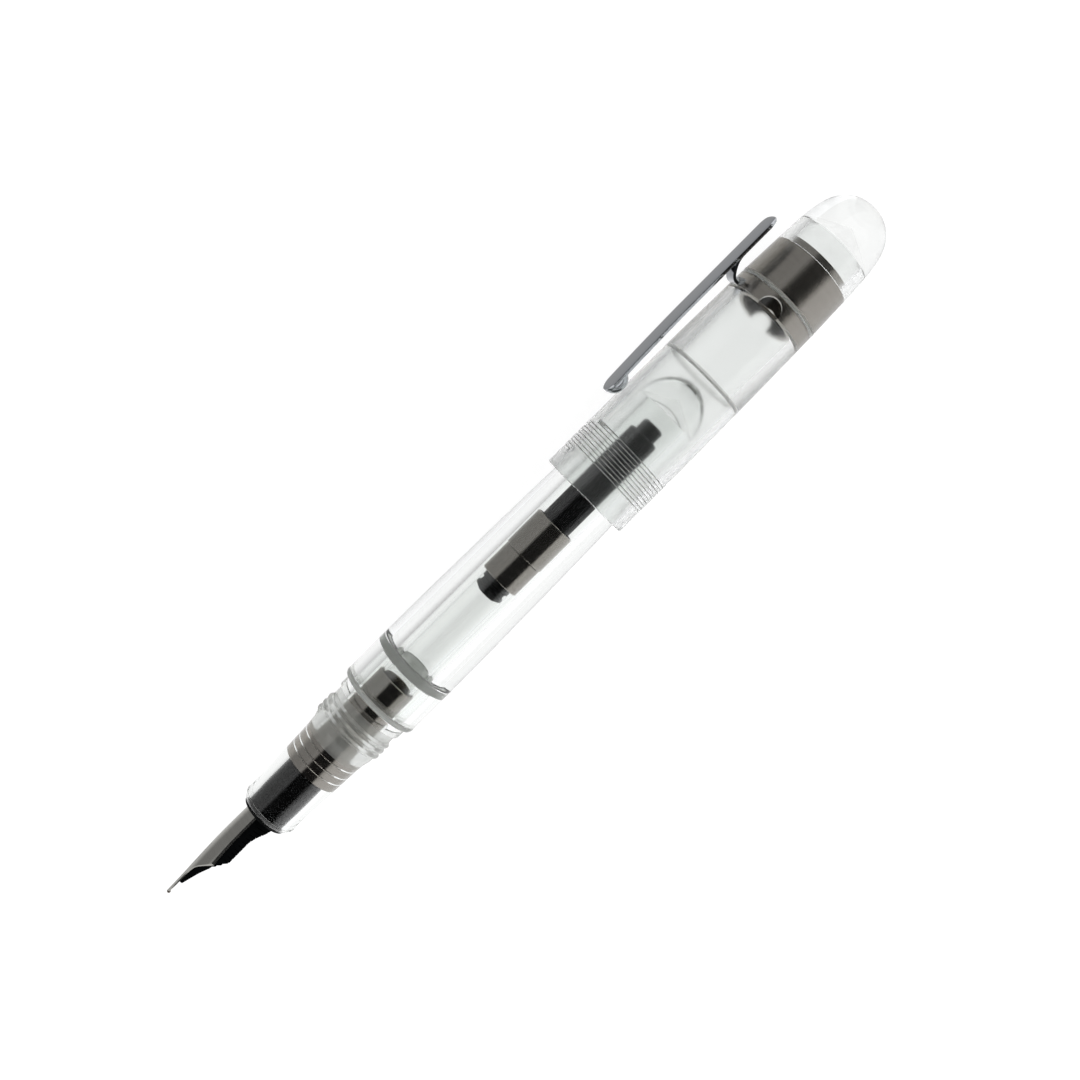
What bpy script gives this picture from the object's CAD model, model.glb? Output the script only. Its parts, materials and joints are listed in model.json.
import json
import math

import bmesh
import bpy
from mathutils import Matrix, Vector


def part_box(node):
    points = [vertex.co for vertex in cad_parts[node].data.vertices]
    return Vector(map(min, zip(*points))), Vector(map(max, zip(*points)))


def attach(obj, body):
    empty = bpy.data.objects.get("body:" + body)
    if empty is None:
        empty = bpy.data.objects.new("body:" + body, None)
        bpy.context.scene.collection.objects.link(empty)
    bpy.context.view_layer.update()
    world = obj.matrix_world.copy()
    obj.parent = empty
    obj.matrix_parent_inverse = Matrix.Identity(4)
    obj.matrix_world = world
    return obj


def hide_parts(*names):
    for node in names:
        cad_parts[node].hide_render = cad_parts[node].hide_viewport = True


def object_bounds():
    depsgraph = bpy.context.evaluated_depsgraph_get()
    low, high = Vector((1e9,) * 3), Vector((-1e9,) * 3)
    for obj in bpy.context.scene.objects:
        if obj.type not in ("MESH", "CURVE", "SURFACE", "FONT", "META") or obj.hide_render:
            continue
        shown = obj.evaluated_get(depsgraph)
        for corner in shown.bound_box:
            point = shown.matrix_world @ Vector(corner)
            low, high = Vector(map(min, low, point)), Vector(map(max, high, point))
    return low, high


# A clear acrylic fountain pen with its cap posted. The CAD frame gives every place and size:
# stations are millimetres from the nib's tip along the pen, and radii are millimetres too.

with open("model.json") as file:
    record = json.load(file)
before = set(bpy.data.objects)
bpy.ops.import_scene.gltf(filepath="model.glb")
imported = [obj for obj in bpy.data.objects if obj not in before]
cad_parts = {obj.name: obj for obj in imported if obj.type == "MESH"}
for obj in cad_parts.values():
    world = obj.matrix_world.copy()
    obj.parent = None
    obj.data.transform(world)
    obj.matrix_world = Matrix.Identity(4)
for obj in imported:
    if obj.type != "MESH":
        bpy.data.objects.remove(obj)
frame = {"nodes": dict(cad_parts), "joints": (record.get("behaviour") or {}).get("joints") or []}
CAD_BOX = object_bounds()

MM = 0.001
SEGMENTS = 144
SHARP_DEGREES = 28
TIP_X = CAD_BOX[1].x


def joint(name):
    return next(j for j in frame["joints"] if j["name"] == name)


def span(node):
    """First and last station of a CAD node."""
    low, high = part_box(node)
    return (TIP_X - high.x) / MM, (TIP_X - low.x) / MM


def reach(node):
    """Largest radius of a round CAD node."""
    low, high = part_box(node)
    return (high.z - low.z) / 2 / MM


BARREL_LOW, BARREL_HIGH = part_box("barrel")
AXIS_Y = (BARREL_LOW.y + BARREL_HIGH.y) / 2
AXIS_Z = (BARREL_LOW.z + BARREL_HIGH.z) / 2
ACROSS = Vector(joint("clip_flex")["axis"])
CLIPWARD = Vector((0, ACROSS.z, -ACROSS.y))

SECTION_FRONT, SECTION_REAR = span("grip_section")
SLEEVE_FRONT, SLEEVE_REAR = span("converter_sleeve")
BARREL_FRONT, BARREL_END = span("barrel")
SEAL_FRONT, SEAL_REAR = span("section_seal")
CAP_MOUTH, CAP_JOINT = span("cap_body")
PEN_END = span("finial")[1]
BUSHING_FRONT = span("finial_bushing")[0]

# Radii and stations that the CAD boxes don't show: the grip section and its thread
THREAD_PITCH = 1.13
THREAD_START, THREAD_END = 36.5, 41.95
THREAD_ROOT_R = 5.6
THREAD_CREST_R = 6.0
GRIP_END = (34.3, 5.2)
TENON_R = 5.0
SOCKET_END = 34.85

# The barrel
MOUTH_END = 44.6
BORE_R = 3.65
BORE_END = 104.8
DOME_START = 104.0
DOME_R = 5.5

# The cap and finial
CAP_THREAD_START, CAP_THREAD_END = 90.9, 97.7
CAP_THREAD_R = 5.92
CAP_BORE_R = 6.2
CAP_STEP = 112.3
CAP_INNER_R = 5.45
CAP_JOINT_R = 7.07
BUSHING_STEP = 135.2
FINIAL_HOLE_END = 139.5
FINIAL_HOLE_R = 5.05

# Overlap of faces that wet each other, gap between faces that move, slope of a drilled hole's end
CONTACT = 0.03
RUNNING = 0.05
DRILL_CONE = math.tan(math.radians(31))
HOLDER_R = 5.25 - CONTACT
SOCKET_R = TENON_R + RUNNING


# ------------------------------------------------------------------ camera, world and floor

CAMERA_ELEVATION = 33.27
CAMERA_ROLL = 44.92
CAMERA_DISTANCE = 190
CAMERA_STATION = 90.0
AIM_STATION = 78.6
SENSOR_WIDTH = 36
LENS = 42.27


def on_axis(station):
    return Vector((TIP_X - station * MM, AXIS_Y, AXIS_Z))


def make_camera():
    """The camera stands off the pen's axis, and is rolled so that the pen climbs to the right."""
    tilt = math.radians(CAMERA_ELEVATION)
    outward = Vector((0, -math.cos(tilt), math.sin(tilt)))
    eye = on_axis(CAMERA_STATION) + outward * CAMERA_DISTANCE * MM
    back = (eye - on_axis(AIM_STATION)).normalized()
    capward = (Vector((-1, 0, 0)) + back * back.x).normalized()
    above = back.cross(capward)
    roll = math.radians(CAMERA_ROLL)
    right = capward * math.cos(roll) - above * math.sin(roll)
    up = capward * math.sin(roll) + above * math.cos(roll)
    camera = bpy.data.objects.new("camera", bpy.data.cameras.new("camera"))
    bpy.context.scene.collection.objects.link(camera)
    camera.data.sensor_width = SENSOR_WIDTH
    camera.data.lens = LENS
    camera.data.clip_start = 0.01
    camera.data.clip_end = 100
    turn = Matrix((right, up, back)).transposed()
    camera.rotation_mode = "QUATERNION"
    camera.rotation_quaternion = turn.to_quaternion()
    camera.location = eye
    bpy.context.scene.camera = camera


# What the camera sees of the floor, what other rays see of it, and the half size
FLOOR_GLOW = 0.95
FLOOR_LEVEL = 0.98
FLOOR_HALF = 20.0
FLOOR_DROP = 0.02

# The grey card, which fades out between these distances in front of the pen's axis
CARD_LEVEL = 0.44
CARD_EDGE = (7.5, 1.5)

# The tent's ends, and how far from straight across they begin and are full
SIDE_LEVEL = 1.15
SIDE_START, SIDE_FULL = 0.42, 0.66

# Sky brightness by the angle round the pen, from below the front, over the top, to the back
SKY = ((-180, 0.9), (-12, 0.60), (12, 0.45), (20, 0.02), (80, 0.02), (90, 0.95), (180, 1.1))


def make_world():
    """A bright tent with a dark opening on the side that faces the front of the pen."""
    world = bpy.data.worlds.new("studio")
    bpy.context.scene.world = world
    world.use_nodes = True
    nodes, links = world.node_tree.nodes, world.node_tree.links
    nodes.clear()
    where = nodes.new("ShaderNodeTexCoord")
    split = nodes.new("ShaderNodeSeparateXYZ")
    links.new(where.outputs["Generated"], split.inputs[0])
    front = maths(nodes, links, "MULTIPLY", split.outputs["Y"], -1)
    angle = maths(nodes, links, "ARCTAN2", split.outputs["Z"], front)
    turn = maths(nodes, links, "MULTIPLY_ADD", angle, 1 / math.tau, 0.5)
    ramp = nodes.new("ShaderNodeValToRGB")
    links.new(turn, ramp.inputs["Fac"])
    stops = ramp.color_ramp.elements
    while len(stops) < len(SKY):
        stops.new(0.5)
    for stop, (degrees, level) in zip(stops, SKY):
        stop.position = degrees / 360 + 0.5
        stop.color = (level, level, level * 1.01, 1)
    ends = maths(nodes, links, "ABSOLUTE", split.outputs["X"])
    sideways = nodes.new("ShaderNodeMapRange")
    sideways.interpolation_type = "SMOOTHSTEP"
    links.new(ends, sideways.inputs["Value"])
    sideways.inputs["From Min"].default_value = SIDE_START
    sideways.inputs["From Max"].default_value = SIDE_FULL
    sides = nodes.new("ShaderNodeMix")
    sides.data_type = "RGBA"
    links.new(sideways.outputs["Result"], sides.inputs["Factor"])
    links.new(ramp.outputs["Color"], sides.inputs["A"])
    sides.inputs["B"].default_value = (SIDE_LEVEL, SIDE_LEVEL, SIDE_LEVEL, 1)
    light = nodes.new("ShaderNodeBackground")
    links.new(sides.outputs["Result"], light.inputs["Color"])
    seen = nodes.new("ShaderNodeBackground")
    seen.inputs["Color"].default_value = (1, 1, 1, 1)
    path = nodes.new("ShaderNodeLightPath")
    choose = nodes.new("ShaderNodeMixShader")
    links.new(path.outputs["Is Camera Ray"], choose.inputs["Fac"])
    links.new(light.outputs[0], choose.inputs[1])
    links.new(seen.outputs[0], choose.inputs[2])
    out = nodes.new("ShaderNodeOutputWorld")
    links.new(choose.outputs[0], out.inputs["Surface"])


def make_floor():
    """A white floor with a grey card in front of the pen, which only reflections see."""
    mesh = bpy.data.meshes.new("floor")
    corners = [(x * FLOOR_HALF, y * FLOOR_HALF, 0) for x, y in ((-1, -1), (1, -1), (1, 1), (-1, 1))]
    mesh.from_pydata(corners, [], [(0, 1, 2, 3)])
    floor = bpy.data.objects.new("floor", mesh)
    bpy.context.scene.collection.objects.link(floor)
    floor.location.z = CAD_BOX[0].z - FLOOR_DROP * MM
    material, nodes, links, shader = shaded("floor", (0.2, 0.2, 0.2), 0.9)
    shader.inputs["Specular IOR Level"].default_value = 0
    shader.inputs["Emission Color"].default_value = (1, 1, 1, 1)
    shader.inputs["Emission Strength"].default_value = FLOOR_GLOW
    where = nodes.new("ShaderNodeTexCoord")
    split = nodes.new("ShaderNodeSeparateXYZ")
    links.new(where.outputs["Object"], split.inputs[0])
    card = nodes.new("ShaderNodeMapRange")
    card.interpolation_type = "SMOOTHSTEP"
    links.new(split.outputs["Y"], card.inputs["Value"])
    card.inputs["From Min"].default_value = AXIS_Y - CARD_EDGE[0] * MM
    card.inputs["From Max"].default_value = AXIS_Y - CARD_EDGE[1] * MM
    card.inputs["To Min"].default_value = CARD_LEVEL
    card.inputs["To Max"].default_value = FLOOR_LEVEL
    glow = nodes.new("ShaderNodeEmission")
    links.new(card.outputs["Result"], glow.inputs["Color"])
    path = nodes.new("ShaderNodeLightPath")
    choose = nodes.new("ShaderNodeMixShader")
    links.new(path.outputs["Is Camera Ray"], choose.inputs["Fac"])
    links.new(glow.outputs[0], choose.inputs[1])
    links.new(shader.outputs[0], choose.inputs[2])
    links.new(choose.outputs[0], nodes["Material Output"].inputs["Surface"])
    mesh.materials.append(material)


def set_quality():
    scene = bpy.context.scene
    scene.view_settings.view_transform = "Standard"
    scene.cycles.use_denoising = True
    scene.cycles.max_bounces = 40
    scene.cycles.transmission_bounces = 40
    scene.cycles.glossy_bounces = 16
    scene.cycles.transparent_max_bounces = 40


# ------------------------------------------------------------------ shader helpers

def maths(nodes, links, operation, *values):
    """A Math node fed by sockets or numbers."""
    node = nodes.new("ShaderNodeMath")
    node.operation = operation
    for socket, value in zip(node.inputs, values):
        if isinstance(value, (int, float)):
            socket.default_value = value
        else:
            links.new(value, socket)
    return node.outputs[0]


def shaded(name, colour, roughness, **sockets):
    """A new material with its Principled shader's own sockets set."""
    material = bpy.data.materials.new(name)
    material.use_nodes = True
    nodes, links = material.node_tree.nodes, material.node_tree.links
    shader = nodes["Principled BSDF"]
    shader.inputs["Base Color"].default_value = (*colour, 1)
    shader.inputs["Roughness"].default_value = roughness
    for socket, value in sockets.items():
        shader.inputs[socket.replace("_", " ")].default_value = value
    return material, nodes, links, shader


def grain(nodes, links, scale, stretch=(1, 1, 1), detail=3.0):
    """Noise in the frame's own coordinates. scale is in features per metre."""
    where = nodes.new("ShaderNodeTexCoord")
    mapping = nodes.new("ShaderNodeMapping")
    mapping.inputs["Scale"].default_value = stretch
    noise = nodes.new("ShaderNodeTexNoise")
    noise.inputs["Scale"].default_value = scale
    noise.inputs["Detail"].default_value = detail
    links.new(where.outputs["Object"], mapping.inputs["Vector"])
    links.new(mapping.outputs["Vector"], noise.inputs["Vector"])
    return noise.outputs["Fac"]


def spread(nodes, links, value, low, high):
    """Map a 0 to 1 value on to a range."""
    node = nodes.new("ShaderNodeMapRange")
    node.inputs["To Min"].default_value = low
    node.inputs["To Max"].default_value = high
    links.new(value, node.inputs["Value"])
    return node.outputs["Result"]


def tone(nodes, links, value, dark, light):
    """Map a 0 to 1 value on to a colour between two others."""
    node = nodes.new("ShaderNodeMix")
    node.data_type = "RGBA"
    node.inputs["A"].default_value = (*dark, 1)
    node.inputs["B"].default_value = (*light, 1)
    links.new(value, node.inputs["Factor"])
    return node.outputs["Result"]


def raise_bump(nodes, links, shader, height, depth, strength):
    bump = nodes.new("ShaderNodeBump")
    bump.inputs["Distance"].default_value = depth * MM
    bump.inputs["Strength"].default_value = strength
    links.new(height, bump.inputs["Height"])
    links.new(bump.outputs["Normal"], shader.inputs["Normal"])


# ------------------------------------------------------------------ materials

ROUND_THE_PEN = (1, 0.02, 0.02)
ALONG_THE_PEN = (0.04, 1, 1)


def polished_acrylic():
    material, nodes, links, shader = shaded(
        "polished_acrylic", (0.975, 0.985, 0.978), 0.01, Transmission_Weight=1, IOR=1.49)
    smears = grain(nodes, links, 260)
    links.new(spread(nodes, links, smears, 0.0, 0.03), shader.inputs["Roughness"])
    return material


def bored_acrylic(name, haze, low, high, colour):
    """An inner face left by a cutter: softly rough, ringed, and a little milky."""
    material, nodes, links, shader = shaded(name, (0.96, 0.975, 0.965), low,
                                            Transmission_Weight=1, IOR=1.49)
    rings = grain(nodes, links, 2600, ROUND_THE_PEN)
    links.new(spread(nodes, links, rings, low, high), shader.inputs["Roughness"])
    raise_bump(nodes, links, shader, rings, 0.005, 0.15)
    through = nodes.new("ShaderNodeBsdfTranslucent")
    through.inputs["Color"].default_value = (*colour, 1)
    back = nodes.new("ShaderNodeBsdfDiffuse")
    back.inputs["Color"].default_value = (*colour, 1)
    milk = nodes.new("ShaderNodeMixShader")
    milk.inputs["Fac"].default_value = 0.3
    links.new(through.outputs[0], milk.inputs[1])
    links.new(back.outputs[0], milk.inputs[2])
    cloud = grain(nodes, links, 420, ALONG_THE_PEN)
    weight = spread(nodes, links, cloud, haze * 0.75, haze * 1.25)
    blend = nodes.new("ShaderNodeMixShader")
    links.new(weight, blend.inputs["Fac"])
    links.new(shader.outputs[0], blend.inputs[1])
    links.new(milk.outputs[0], blend.inputs[2])
    links.new(blend.outputs[0], nodes["Material Output"].inputs["Surface"])
    return material


def turned_metal(name, dark, light, low, high):
    """Bright metal with faint rings from the lathe."""
    material, nodes, links, shader = shaded(name, light, low, Metallic=1)
    rings = grain(nodes, links, 1800, ROUND_THE_PEN)
    links.new(tone(nodes, links, rings, dark, light), shader.inputs["Base Color"])
    links.new(spread(nodes, links, rings, low, high), shader.inputs["Roughness"])
    raise_bump(nodes, links, shader, rings, 0.004, 0.2)
    return material


def moulded_black(name, low, high, specular):
    material, nodes, links, shader = shaded(name, (0.004, 0.0045, 0.005), low)
    shader.inputs["Specular IOR Level"].default_value = specular
    speck = grain(nodes, links, 1500)
    shade = tone(nodes, links, speck, (0.002, 0.0023, 0.0026), (0.006, 0.0065, 0.007))
    links.new(shade, shader.inputs["Base Color"])
    links.new(spread(nodes, links, speck, low, high), shader.inputs["Roughness"])
    raise_bump(nodes, links, shader, speck, 0.004, 0.15)
    return material


def reservoir_plastic():
    material, nodes, links, shader = shaded(
        "reservoir_plastic", (0.97, 0.975, 0.97), 0.02, Transmission_Weight=1, IOR=1.49)
    flow = grain(nodes, links, 300, ALONG_THE_PEN)
    links.new(spread(nodes, links, flow, 0.0, 0.05), shader.inputs["Roughness"])
    return material


CLEAR_MILK = (0.95, 0.975, 0.96)
GREEN_MILK = (0.965, 0.98, 0.945)

MATERIALS = {
    "polished": polished_acrylic(),
    "bored": bored_acrylic("bored_acrylic", 0.012, 0.02, 0.06, CLEAR_MILK),
    "hazy": bored_acrylic("hazy_acrylic", 0.05, 0.2, 0.26, CLEAR_MILK),
    "frosted": bored_acrylic("frosted_acrylic", 0.09, 0.17, 0.24, CLEAR_MILK),
    "cut": bored_acrylic("cut_acrylic", 0.32, 0.1, 0.18, GREEN_MILK),
    "pale": bored_acrylic("pale_acrylic", 0.6, 0.25, 0.35, GREEN_MILK),
    "silicone": bored_acrylic("seal_silicone", 0.75, 0.3, 0.45, GREEN_MILK),
    "reservoir": reservoir_plastic(),
    "nib": turned_metal("steel_nib", (0.29, 0.285, 0.265), (0.35, 0.345, 0.325), 0.14, 0.22),
    "tipping": turned_metal("tipping", (0.10, 0.085, 0.07), (0.17, 0.145, 0.12), 0.3, 0.45),
    "plated": turned_metal("plated_metal", (0.29, 0.27, 0.245), (0.33, 0.31, 0.282), 0.08, 0.14),
    "brushed": turned_metal("brushed_metal", (0.27, 0.25, 0.225), (0.34, 0.32, 0.29), 0.2, 0.28),
    "chrome": turned_metal("clip_chrome", (0.47, 0.485, 0.51), (0.50, 0.515, 0.54), 0.03, 0.07),
    "screw": turned_metal("lead_screw_steel", (0.4, 0.39, 0.38), (0.5, 0.49, 0.48), 0.2, 0.3),
    "black": moulded_black("black_plastic", 0.25, 0.4, 0.14),
    "feed": moulded_black("feed_plastic", 0.5, 0.7, 0.0),
    "rubber": moulded_black("black_rubber", 0.45, 0.65, 0.1),
}


# ------------------------------------------------------------------ lathe

def place(station, radius, turn):
    """A point of the pen. turn is in radians round the axis from the clip."""
    outward = CLIPWARD * math.cos(turn) + ACROSS * math.sin(turn)
    return on_axis(station) + outward * radius * MM


def smooth(points, steps=8):
    """A smooth curve of (station, radius) points through the given ones."""
    count = len(points)
    slopes = []
    for i in range(count):
        a, b = points[max(i - 1, 0)], points[min(i + 1, count - 1)]
        slopes.append((b[1] - a[1]) / (b[0] - a[0]))
    curve = [points[0]]
    for i in range(count - 1):
        (s0, r0), (s1, r1) = points[i], points[i + 1]
        width = s1 - s0
        for step in range(1, steps + 1):
            u = step / steps
            radius = ((2 * u**3 - 3 * u**2 + 1) * r0 + (3 * u**2 - 2 * u**3) * r1
                      + (u**3 - 2 * u**2 + u) * width * slopes[i]
                      + (u**3 - u**2) * width * slopes[i + 1])
            curve.append((s0 + width * u, radius))
    return curve


class Thread:
    """A helical thread between two stations, on a root radius, with a crest radius.

    shape lists (share of the pitch, share of the height) for one turn's outline. flank is the
    material of its steep faces, if that isn't the material of the rest.
    """

    def __init__(self, start, end, root_r, crest_r, shape, flank=None):
        self.start, self.end, self.root_r, self.crest_r = start, end, root_r, crest_r
        self.shape, self.flank = shape, flank

    def steep(self, row):
        """Whether the face from this row to the next one is a flank."""
        size = len(self.shape)
        return self.shape[row % size][1] != self.shape[(row + 1) % size][1]

    def radius(self, station, height):
        """Radius at a share of the thread's height, which runs out over half a turn at each end."""
        run = min(station - self.start, self.end - station) / THREAD_PITCH
        return self.root_r + (self.crest_r - self.root_r) * height * min(max(run * 2, 0), 1)

    def build(self, shell, index, flank_index):
        """Add the thread's faces. Returns its low and high edges, one cell per segment."""
        size = len(self.shape)
        turns = int((self.end - self.start) / THREAD_PITCH) - 1
        rows = []
        for j in range(turns * size + 1):
            share, height = self.shape[j % size]
            base = self.start + (j // size + share) * THREAD_PITCH
            row = []
            for k in range(SEGMENTS):
                station = base + THREAD_PITCH * k / SEGMENTS
                radius = self.radius(station, height)
                row.append(shell.verts.new(place(station, radius, math.tau * k / SEGMENTS)))
            rows.append(row)
        last = SEGMENTS - 1
        for j in range(len(rows) - 1):
            material = flank_index if self.steep(j) else index
            for k in range(last):
                face = (rows[j][k], rows[j][k + 1], rows[j + 1][k + 1], rows[j + 1][k])
                shell.faces.new(face).material_index = material
            if j < len(rows) - 1 - size:
                after = (rows[j + size][0], rows[j + size + 1][0])
                face = (rows[j][last], *after, rows[j + 1][last])
                shell.faces.new(face).material_index = material
        low = [[rows[0][k], rows[0][k + 1]] for k in range(last)]
        low.append([rows[0][last]] + [rows[j][0] for j in range(size, -1, -1)])
        high = [[rows[-1][k], rows[-1][k + 1]] for k in range(last)]
        high.append([rows[-1 - j][last] for j in range(size + 1)] + [rows[-1][0]])
        return low, high


# Thread outlines: rounded like the section's, and flat-topped like the cap's
ROUND_THREAD = ((0, 0), (0.14, 0), (0.24, 0.3), (0.36, 0.82), (0.44, 1), (0.6, 1), (0.68, 0.82),
                (0.8, 0.3), (0.9, 0))
FLAT_THREAD = ((0, 0), (0.2, 0), (0.4, 0), (0.46, 0.5), (0.52, 1), (0.7, 1), (0.88, 1), (0.94, 0.5))


def lathe(name, bands, body, slot, *replaced):
    """Turn (material, outline) bands about the axis into one closed piece that rides on body.

    An outline is a list of (station, radius) points, or a Thread, which is joined by its low edge
    if the outline is travelling towards the cap, and by its high edge if not.
    """
    mesh = bpy.data.meshes.new(name)
    shell = bmesh.new()
    names = []
    first = last = None
    station = 0
    for material, outline in bands:
        index = use_material(mesh, names, material)
        if isinstance(outline, Thread):
            flank_index = use_material(mesh, names, outline.flank or material)
            low, high = outline.build(shell, index, flank_index)
            near, far = (low, high) if station <= outline.start else (high, low)
            bridge(shell, cells(last), near, index)
            last = far
            continue
        for point in outline:
            if last is not None and point == (station, radius):
                continue
            station, radius = point
            ring = make_ring(shell, station, radius)
            if last is None:
                first = ring
            else:
                bridge(shell, cells(last), cells(ring), index)
            last = ring
    if len(first) > 1 and len(last) > 1:
        bridge(shell, cells(last), cells(first), index)
    bmesh.ops.recalc_face_normals(shell, faces=shell.faces)
    shell.to_mesh(mesh)
    shell.free()
    mesh.shade_smooth()
    mesh.set_sharp_from_angle(angle=math.radians(SHARP_DEGREES))
    piece = bpy.data.objects.new(name, mesh)
    bpy.context.scene.collection.objects.link(piece)
    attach(piece, body)
    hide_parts(*replaced)
    return piece


def use_material(mesh, names, material):
    """The place of a material in the mesh's list, which it joins if it is new."""
    if material not in names:
        names.append(material)
        mesh.materials.append(MATERIALS[material])
    return names.index(material)


def make_ring(shell, station, radius):
    """The vertices of one ring, or the single one where the outline meets the axis."""
    if radius < 1e-6:
        return [shell.verts.new(place(station, 0, 0))]
    return [shell.verts.new(place(station, radius, math.tau * k / SEGMENTS))
            for k in range(SEGMENTS)]


def cells(edge):
    """An edge as one list of vertices per segment. A thread's edge is in that form already."""
    if isinstance(edge[0], list):
        return edge
    if len(edge) == 1:
        return [edge] * SEGMENTS
    return [[edge[k], edge[(k + 1) % SEGMENTS]] for k in range(SEGMENTS)]


def bridge(shell, a, b, index):
    """Join two edges with one face per segment."""
    for near, far in zip(a, b):
        corners = near + far[::-1]
        if len(corners) > 2:
            shell.faces.new(corners).material_index = index


# ------------------------------------------------------------------ acrylic pieces

def make_section():
    """Grip section: polished nose and waist, cut cap thread, collar, tenon and polished socket."""
    nose = [(SECTION_FRONT, 3.95), (19.55, 4.18), (19.85, 4.45), (20.2, 4.66), (20.45, 4.76)]
    edge = [(20.45, 4.76), (20.52, 4.77)]
    waist = smooth([edge[-1], (21.6, 4.71), (23.3, 4.68), (28.5, 4.94), GRIP_END])
    lead_in = [GRIP_END, (35.6, 5.36), (36.3, 5.56), (THREAD_START, THREAD_ROOT_R)]
    thread = Thread(THREAD_START, THREAD_END, THREAD_ROOT_R, THREAD_CREST_R, ROUND_THREAD)
    collar = [(THREAD_END, THREAD_ROOT_R), (42.1, THREAD_CREST_R), (43.75, THREAD_CREST_R),
              (BARREL_FRONT, 5.85), (BARREL_FRONT, TENON_R), (SECTION_REAR, TENON_R)]
    tail = [(SECTION_REAR, TENON_R), (SECTION_REAR, 3.8)]
    socket = [(SECTION_REAR, 3.8), (SOCKET_END, 3.75), (SOCKET_END, 3.43 - CONTACT),
              (SLEEVE_FRONT, 3.43 - CONTACT), (SLEEVE_FRONT, 3.45), (SECTION_FRONT, 3.45)]
    return lathe("section_acrylic", [
        ("polished", nose),
        ("pale", edge),
        ("polished", waist),
        ("cut", lead_in),
        ("cut", thread),
        ("cut", collar[:2]),
        ("polished", collar[1:]),
        ("pale", tail),
        ("polished", socket),
    ], "front", "acrylic", "grip_section")


def make_barrel():
    """Barrel: a straight front, a long taper and a blunt dome round a drilled bore."""
    radius = reach("barrel")
    rim = [(BARREL_FRONT, radius - 0.4), (BARREL_FRONT + 0.12, radius - 0.14),
           (BARREL_FRONT + 0.42, radius), (BARREL_FRONT + 0.9, radius)]
    taper = smooth([(53.4, radius), (58.0, radius - 0.02), (67.3, 6.57), (78.0, 6.36),
                    (CAP_MOUTH, 6.09), (91.6, 5.66), (96.0, 5.56), (DOME_START, DOME_R)])
    dome = [(DOME_START + (BARREL_END - DOME_START) * math.sin(math.radians(a)),
             DOME_R * math.cos(math.radians(a))) for a in range(0, 90, 5)]
    dome.append((BARREL_END, 0))
    drill = [dome[-1], (BORE_END + BORE_R * DRILL_CONE, 0), (BORE_END, BORE_R)]
    bore = [drill[-1], (90.0, BORE_R), (70.0, BORE_R), (SEAL_REAR, BORE_R)]
    shoulder = [bore[-1], (SEAL_REAR, SOCKET_R)]
    socket = [shoulder[-1], (SEAL_FRONT, SOCKET_R), (MOUTH_END, SOCKET_R)]
    mouth = [socket[-1], (BARREL_FRONT, 5.75), rim[0]]
    return lathe("barrel_acrylic", [
        ("pale", rim),
        ("polished", rim[-1:] + taper),
        ("polished", dome),
        ("bored", drill),
        ("bored", bore),
        ("pale", shoulder),
        ("polished", socket),
        ("pale", mouth),
    ], "barrel", "acrylic", "barrel")


def make_cap():
    """Cap body: polished outside, with a frosted thread and bore up to a clearer upper room."""
    mouth_r = reach("cap_body")
    side = [(CAP_MOUTH, mouth_r - 0.25), (CAP_MOUTH + 0.08, mouth_r - 0.08),
            (CAP_MOUTH + 0.25, mouth_r)]
    side += smooth([(CAP_MOUTH + 0.25, mouth_r), (97.0, 7.52), (106.0, 7.46), (117.0, 7.30),
                    (CAP_JOINT - 0.12, CAP_JOINT_R)])[1:]
    end = [side[-1], (CAP_JOINT, CAP_JOINT_R - 0.12), (CAP_JOINT, HOLDER_R + 0.3),
           (CAP_JOINT - 0.3, HOLDER_R)]
    holder = [end[-1], (BUSHING_FRONT, HOLDER_R), (BUSHING_FRONT - 0.15, 5.3),
              (BUSHING_FRONT - 0.65, CAP_INNER_R)]
    room = [holder[-1], (CAP_STEP + 0.7, CAP_INNER_R)]
    step = [room[-1], (CAP_STEP + 0.35, 5.62), (CAP_STEP + 0.08, 5.9), (CAP_STEP, CAP_BORE_R)]
    bore = [step[-1], (105.0, CAP_BORE_R), (CAP_THREAD_END, CAP_BORE_R)]
    thread = Thread(CAP_THREAD_START, CAP_THREAD_END, CAP_BORE_R, CAP_THREAD_R, FLAT_THREAD,
                    flank="pale")
    lip = [(CAP_THREAD_START, CAP_BORE_R), (CAP_MOUTH + 0.3, CAP_BORE_R), (CAP_MOUTH, CAP_BORE_R + 0.3),
           (CAP_MOUTH, mouth_r - 0.25)]
    return lathe("cap_acrylic", [
        ("polished", side),
        ("pale", end),
        ("polished", holder),
        ("hazy", room),
        ("pale", step),
        ("frosted", bore),
        ("frosted", thread),
        ("frosted", lip),
    ], "cap", "acrylic", "cap_body")


def make_finial():
    """Domed finial, drilled from below, over the hollow bushing."""
    front = CAP_JOINT + 0.02
    steps = 26
    dome = [(front + 0.12, CAP_JOINT_R)]
    for step in range(1, steps):
        part = math.sin(math.pi / 2 * step / steps)
        radius = (CAP_JOINT_R - 0.04 * (PEN_END - front) * part) * math.sqrt(1 - part**7)
        dome.append((front + (PEN_END - front) * part, radius))
    dome.append((PEN_END, 0))
    cone = [dome[-1], (FINIAL_HOLE_END + FINIAL_HOLE_R * DRILL_CONE, 0),
            (FINIAL_HOLE_END, FINIAL_HOLE_R)]
    hole = [cone[-1], (BUSHING_STEP + 0.1, FINIAL_HOLE_R)]
    holder = [hole[-1], (BUSHING_STEP, HOLDER_R), (front + 0.3, HOLDER_R)]
    joint_face = [holder[-1], (front, HOLDER_R + 0.3), (front, CAP_JOINT_R - 0.12)]
    return lathe("finial_acrylic", [
        ("polished", dome),
        ("bored", cone),
        ("hazy", hole),
        ("polished", holder),
        ("pale", joint_face),
    ], "cap", "acrylic", "finial")


# ------------------------------------------------------------------ seal, sleeve and clip

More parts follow.
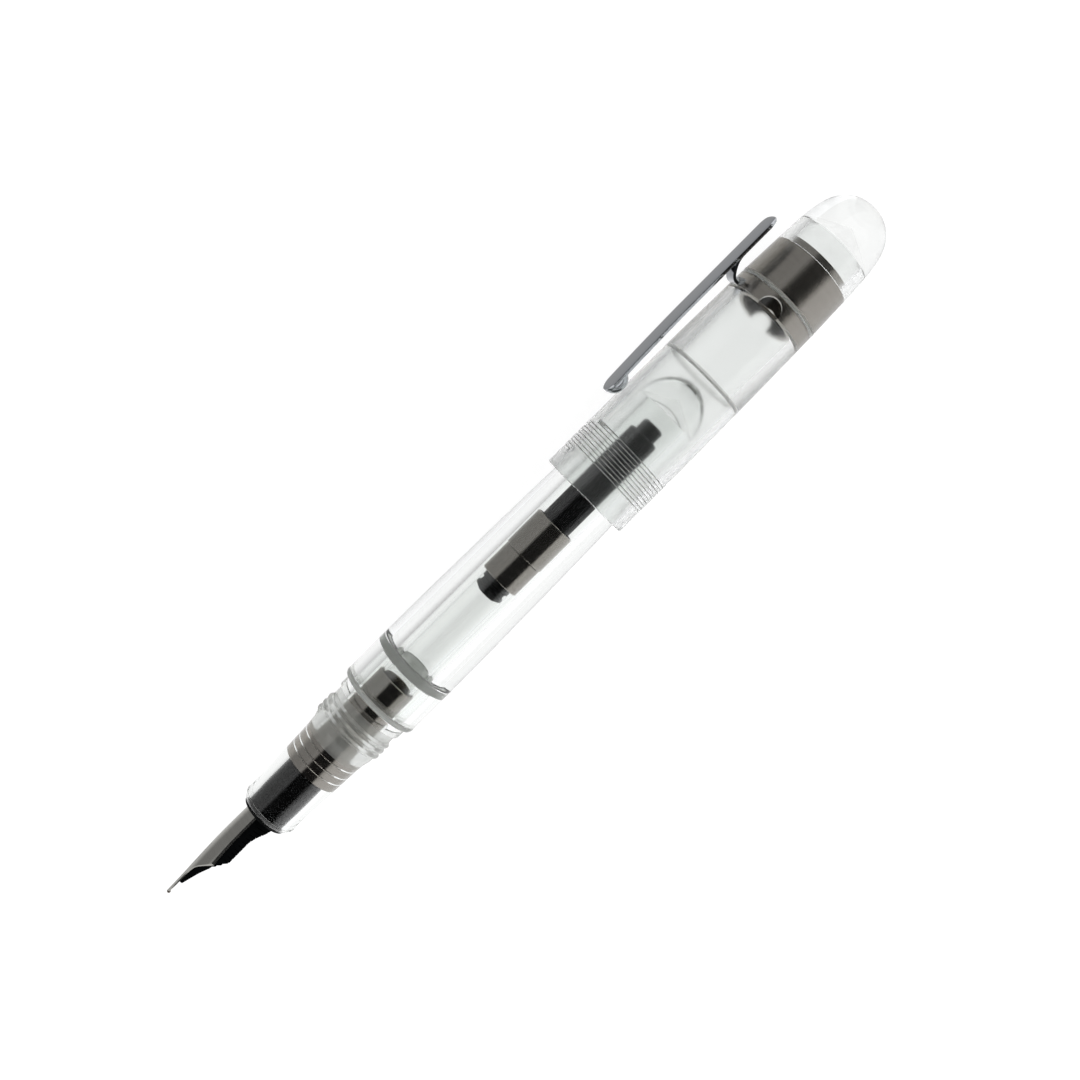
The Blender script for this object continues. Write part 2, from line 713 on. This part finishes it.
def make_seal():
    """Pale ring squeezed between the tenon's end and the barrel, so that it wets the barrel."""
    outer_r = SOCKET_R + CONTACT
    middle = (SEAL_FRONT + SEAL_REAR) / 2
    outline = [(SEAL_FRONT + 0.1, 3.85), (SEAL_FRONT, 4.1), (SEAL_FRONT, 4.8),
               (SEAL_FRONT + 0.15, outer_r), (middle, outer_r), (SEAL_REAR - 0.15, outer_r),
               (SEAL_REAR, 4.8), (SEAL_REAR, 4.1), (SEAL_REAR - 0.1, 3.85)]
    return lathe("seal_ring", [("silicone", outline)], "seal", "seal_silicone", "section_seal")


def make_sleeve():
    """Converter sleeve with three fine grooves in front and a rolled lip at its open rear."""
    outer_r, inner_r = reach("converter_sleeve"), 3.08
    outside = [(SLEEVE_FRONT, inner_r), (SLEEVE_FRONT, outer_r - 0.1),
               (SLEEVE_FRONT + 0.1, outer_r)]
    for groove in (30.4, 31.7, 33.2):
        outside += [(groove - 0.14, outer_r), (groove, outer_r - 0.12), (groove + 0.14, outer_r)]
    lip_r = (outer_r - inner_r) / 2
    outside += [(SLEEVE_REAR - lip_r * (1 - math.sin(a)), outer_r - lip_r * (1 - math.cos(a)))
                for a in (math.radians(b) for b in range(0, 181, 20))]
    outside.append((SLEEVE_FRONT + 0.05, inner_r))
    return lathe("sleeve_metal", [("plated", outside)], "front", "plated_metal",
                 "converter_sleeve")


def make_band(node):
    """One band of the converter's metal ferrule, with bevelled ends that catch the light."""
    front, rear = span(node)
    outer_r, bevel = reach(node), 0.13
    inner_r = outer_r - 0.22
    outline = [(front, inner_r), (front, outer_r - bevel), (front + bevel, outer_r),
               (rear - bevel, outer_r), (rear, outer_r - bevel), (rear, inner_r)]
    return lathe(node + "_band", [("plated", outline)], "front", "plated_metal", node)


CLIP_TIP, CLIP_END = span("clip_arm")
CLIP_TOP = 10.2
CLIP_HALF = 1.95
CLIP_DEPTH = 0.76
CLIP_WALL = 0.36
CLIP_CORNER = 0.26
CLIP_LEAN = 0.2
CLIP_HOLLOW_START = 106.6
PAD_STATION = 103.15
PAD_BOTTOM = 7.57


def clip_height(station):
    """Height of the arm's outer face: it dips a little to the tip and rounds off at the top."""
    dip = 0.4 * max((118 - station) / (118 - CLIP_TIP), 0) ** 1.6
    over = max(station - (CLIP_END - 0.8), 0) / 0.8
    return CLIP_TOP - dip - 0.55 * (1 - math.sqrt(max(1 - over**2, 0)))


def clip_half_width(station):
    """Half the arm's width: parallel sides and round ends."""
    inset = min(station - CLIP_TIP, CLIP_END - station)
    if inset >= CLIP_HALF:
        return CLIP_HALF
    return math.sqrt(max(CLIP_HALF**2 - (CLIP_HALF - inset) ** 2, 0.002))


def clip_section(station):
    """Outline across the arm: a crowned face, round corners and sides that lean inwards."""
    half, top = clip_half_width(station), clip_height(station)
    corner = min(CLIP_CORNER, half * 0.4)
    lean = min(CLIP_LEAN, half * 0.25)
    bottom = CLIP_TOP - CLIP_DEPTH - (CLIP_TOP - clip_height(min(station, 120)))
    right = [(0, top), (half * 0.5, top - 0.012), (half - corner, top - 0.04)]
    for degrees in (20, 40, 60, 80):
        a = math.radians(degrees)
        right.append((half - corner + corner * math.sin(a),
                      top - 0.04 - corner * (1 - math.cos(a))))
    right.append((half - lean, bottom + 0.05))
    right.append((half - lean - 0.06, bottom))
    hollow = CLIP_HOLLOW_START < station < CLIP_END - 1.2
    roof = top - CLIP_WALL if hollow else bottom + 0.001
    inner = max(half - lean - CLIP_WALL, half * 0.2)
    right += [(inner, bottom), (inner, roof), (0, roof)]
    left = [(-side, height) for side, height in reversed(right[1:-1])]
    return right + left


def across(station, side, height):
    return on_axis(station) + (ACROSS * side + CLIPWARD * height) * MM


def make_clip():
    """Chrome clip: a folded arm with round ends, and the pad under its tip."""
    length = CLIP_END - CLIP_TIP
    ends = [CLIP_HALF * (1 - math.cos(math.radians(a))) for a in range(5, 91, 8)]
    stations = [CLIP_TIP + e for e in ends]
    stations += [CLIP_TIP + CLIP_HALF + (length - 2 * CLIP_HALF) * i / 40 for i in range(1, 40)]
    stations += [CLIP_END - e for e in reversed(ends)]
    shell = bmesh.new()
    loops = []
    for station in stations:
        loops.append([shell.verts.new(across(station, *point)) for point in clip_section(station)])
    size = len(loops[0])
    for a, b in zip(loops, loops[1:]):
        for k in range(size):
            n = (k + 1) % size
            shell.faces.new((a[k], a[n], b[n], b[k]))
    shell.faces.new(loops[0])
    shell.faces.new(reversed(loops[-1]))
    add_pad(shell)
    bmesh.ops.recalc_face_normals(shell, faces=shell.faces)
    mesh = bpy.data.meshes.new("clip_chrome")
    mesh.materials.append(MATERIALS["chrome"])
    shell.to_mesh(mesh)
    shell.free()
    mesh.shade_smooth()
    mesh.set_sharp_from_angle(angle=math.radians(40))
    clip = bpy.data.objects.new("clip_arm_chrome", mesh)
    bpy.context.scene.collection.objects.link(clip)
    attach(clip, "clip")
    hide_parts("clip_arm")


def add_pad(shell, around=64, down=14):
    """Half an ellipsoid that hangs under the arm's tip."""
    top = clip_height(PAD_STATION) - CLIP_DEPTH * 0.6
    long_r, wide_r, deep = 2.05, 1.8, top - PAD_BOTTOM
    rings = []
    for i in range(down):
        a = math.pi / 2 * i / down
        rings.append([shell.verts.new(across(
            PAD_STATION + long_r * math.cos(a) * math.cos(math.tau * k / around),
            wide_r * math.cos(a) * math.sin(math.tau * k / around),
            top - deep * math.sin(a))) for k in range(around)])
    tip = shell.verts.new(across(PAD_STATION, 0, PAD_BOTTOM))
    for a, b in zip(rings, rings[1:]):
        for k in range(around):
            n = (k + 1) % around
            shell.faces.new((a[k], a[n], b[n], b[k]))
    for k in range(around):
        shell.faces.new((rings[-1][k], rings[-1][(k + 1) % around], tip))
    shell.faces.new(reversed(rings[0]))


# ------------------------------------------------------------------ CAD nodes kept as they are

FINISHES = {
    "nib": ("nib", "steel_nib"),
    "nib_tipping": ("tipping", "tipping"),
    "feed": ("feed", "black_plastic"),
    "nib_housing": ("black", "black_plastic"),
    "converter_reservoir": ("reservoir", "reservoir_plastic"),
    "piston_seal": ("rubber", "black_rubber"),
    "piston_rod": ("black", "black_plastic"),
    "lead_screw": ("screw", "lead_screw_steel"),
    "converter_knob": ("black", "black_plastic"),
    "knob_end_plug": ("black", "black_plastic"),
    "finial_bushing": ("brushed", "plated_metal"),
    "clip_leaf": ("chrome", "clip_chrome"),
}


def finish_cad_nodes():
    for node, (material, slot) in FINISHES.items():
        piece = frame["nodes"][node]
        piece.data.materials.clear()
        piece.data.materials.append(MATERIALS[material])


make_camera()
make_world()
make_floor()
set_quality()
make_section()
make_barrel()
make_cap()
make_finial()
make_seal()
make_sleeve()
for ferrule_node in ("converter_ferrule", "converter_collar"):
    make_band(ferrule_node)
make_clip()
finish_cad_nodes()
